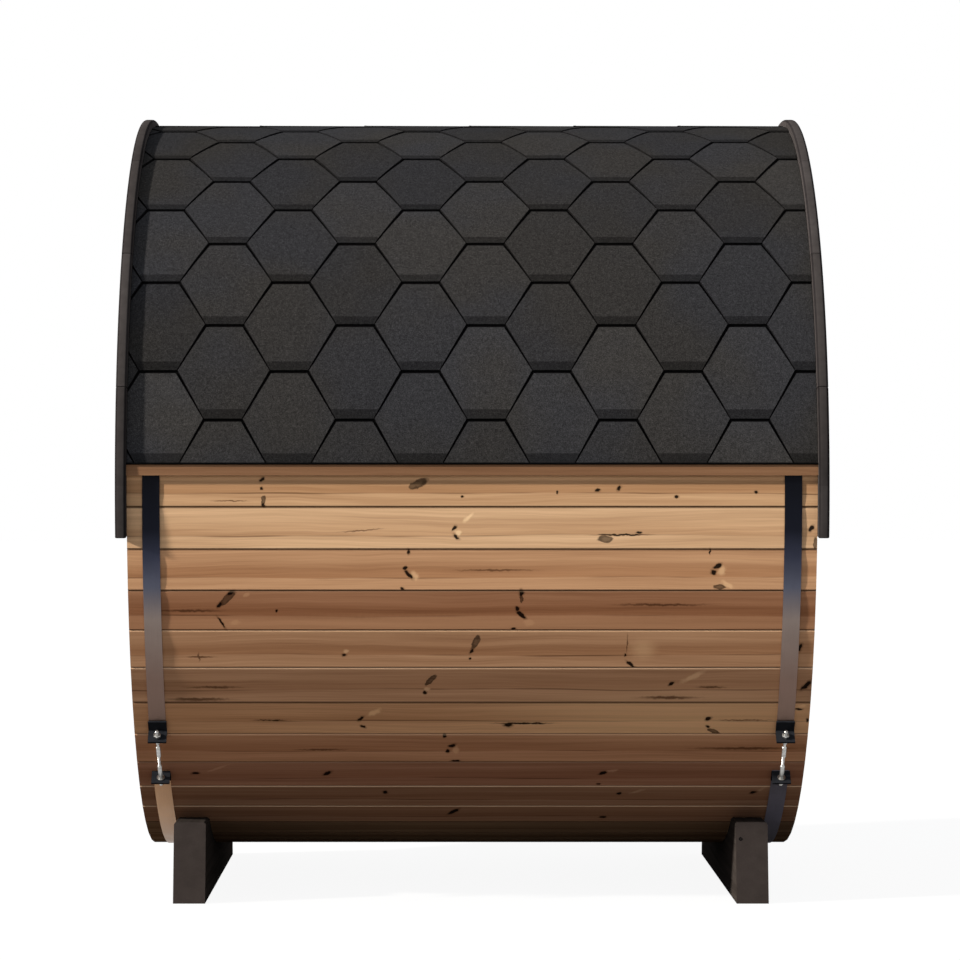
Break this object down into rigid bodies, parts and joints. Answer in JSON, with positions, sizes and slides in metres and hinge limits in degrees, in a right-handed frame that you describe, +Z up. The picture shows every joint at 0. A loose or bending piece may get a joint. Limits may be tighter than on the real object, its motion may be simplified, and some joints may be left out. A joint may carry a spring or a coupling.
{
  "type": "barrel sauna",
  "caption": "Horizontal wooden barrel sauna of hooped staves on cradles, with a dark shingled roof, segmented roof-edge boards and boarded end walls with a plank door.",
  "frame": {"origin": "on the ground under the middle of the barrel", "axes": "+Z up, +X along the barrel towards the door end, +Y away from the side that the picture shows"},
  "size_m": [1.796, 2.038, 2.1138],
  "materials": {
    "thermo_wood": "matte",
    "dark_stained_wood": "matte",
    "bitumen_shingle": "matte",
    "strap_steel": "satin",
    "zinc_steel": "satin",
    "black_iron": "satin"
  },
  "bodies": {
    "root": {"back_end_cradle": "dark_stained_wood", "back_end_far_hoop_bolt": "zinc_steel", "back_end_far_hoop_lugs": "black_iron", "back_end_fascia": "dark_stained_wood", "back_end_lower_hoop": "strap_steel", "back_end_near_hoop_bolt": "zinc_steel", "back_end_near_hoop_lugs": "black_iron", "back_end_upper_hoop": "strap_steel", "back_wall_boards": "thermo_wood", "door_end_cradle": "dark_stained_wood", "door_end_far_hoop_bolt": "zinc_steel", "door_end_far_hoop_lugs": "black_iron", "door_end_fascia": "dark_stained_wood", "door_end_lower_hoop": "strap_steel", "door_end_near_hoop_bolt": "zinc_steel", "door_end_near_hoop_lugs": "black_iron", "door_end_upper_hoop": "strap_steel", "door_frame": "thermo_wood", "door_handles": "thermo_wood", "door_hinges": "black_iron", "door_leaf": "thermo_wood", "door_ledges": "thermo_wood", "door_wall_far_boards": "thermo_wood", "door_wall_head_boards": "thermo_wood", "door_wall_near_boards": "thermo_wood", "door_wall_sill_boards": "thermo_wood", "far_crown_staves": "thermo_wood", "far_floor_staves": "thermo_wood", "far_haunch_staves": "thermo_wood", "far_lower_roof": "bitumen_shingle", "far_lower_side_staves": "thermo_wood", "far_roof_edge_lath": "thermo_wood", "far_shoulder_staves": "thermo_wood", "far_upper_roof": "bitumen_shingle", "far_upper_side_staves": "thermo_wood", "near_crown_staves": "thermo_wood", "near_floor_staves": "thermo_wood", "near_haunch_staves": "thermo_wood", "near_lower_roof": "bitumen_shingle", "near_lower_side_staves": "thermo_wood", "near_roof_edge_lath": "thermo_wood", "near_shoulder_staves": "thermo_wood", "near_upper_roof": "bitumen_shingle", "near_upper_side_staves": "thermo_wood", "ridge_roof": "bitumen_shingle"}
  },
  "joints": []
}
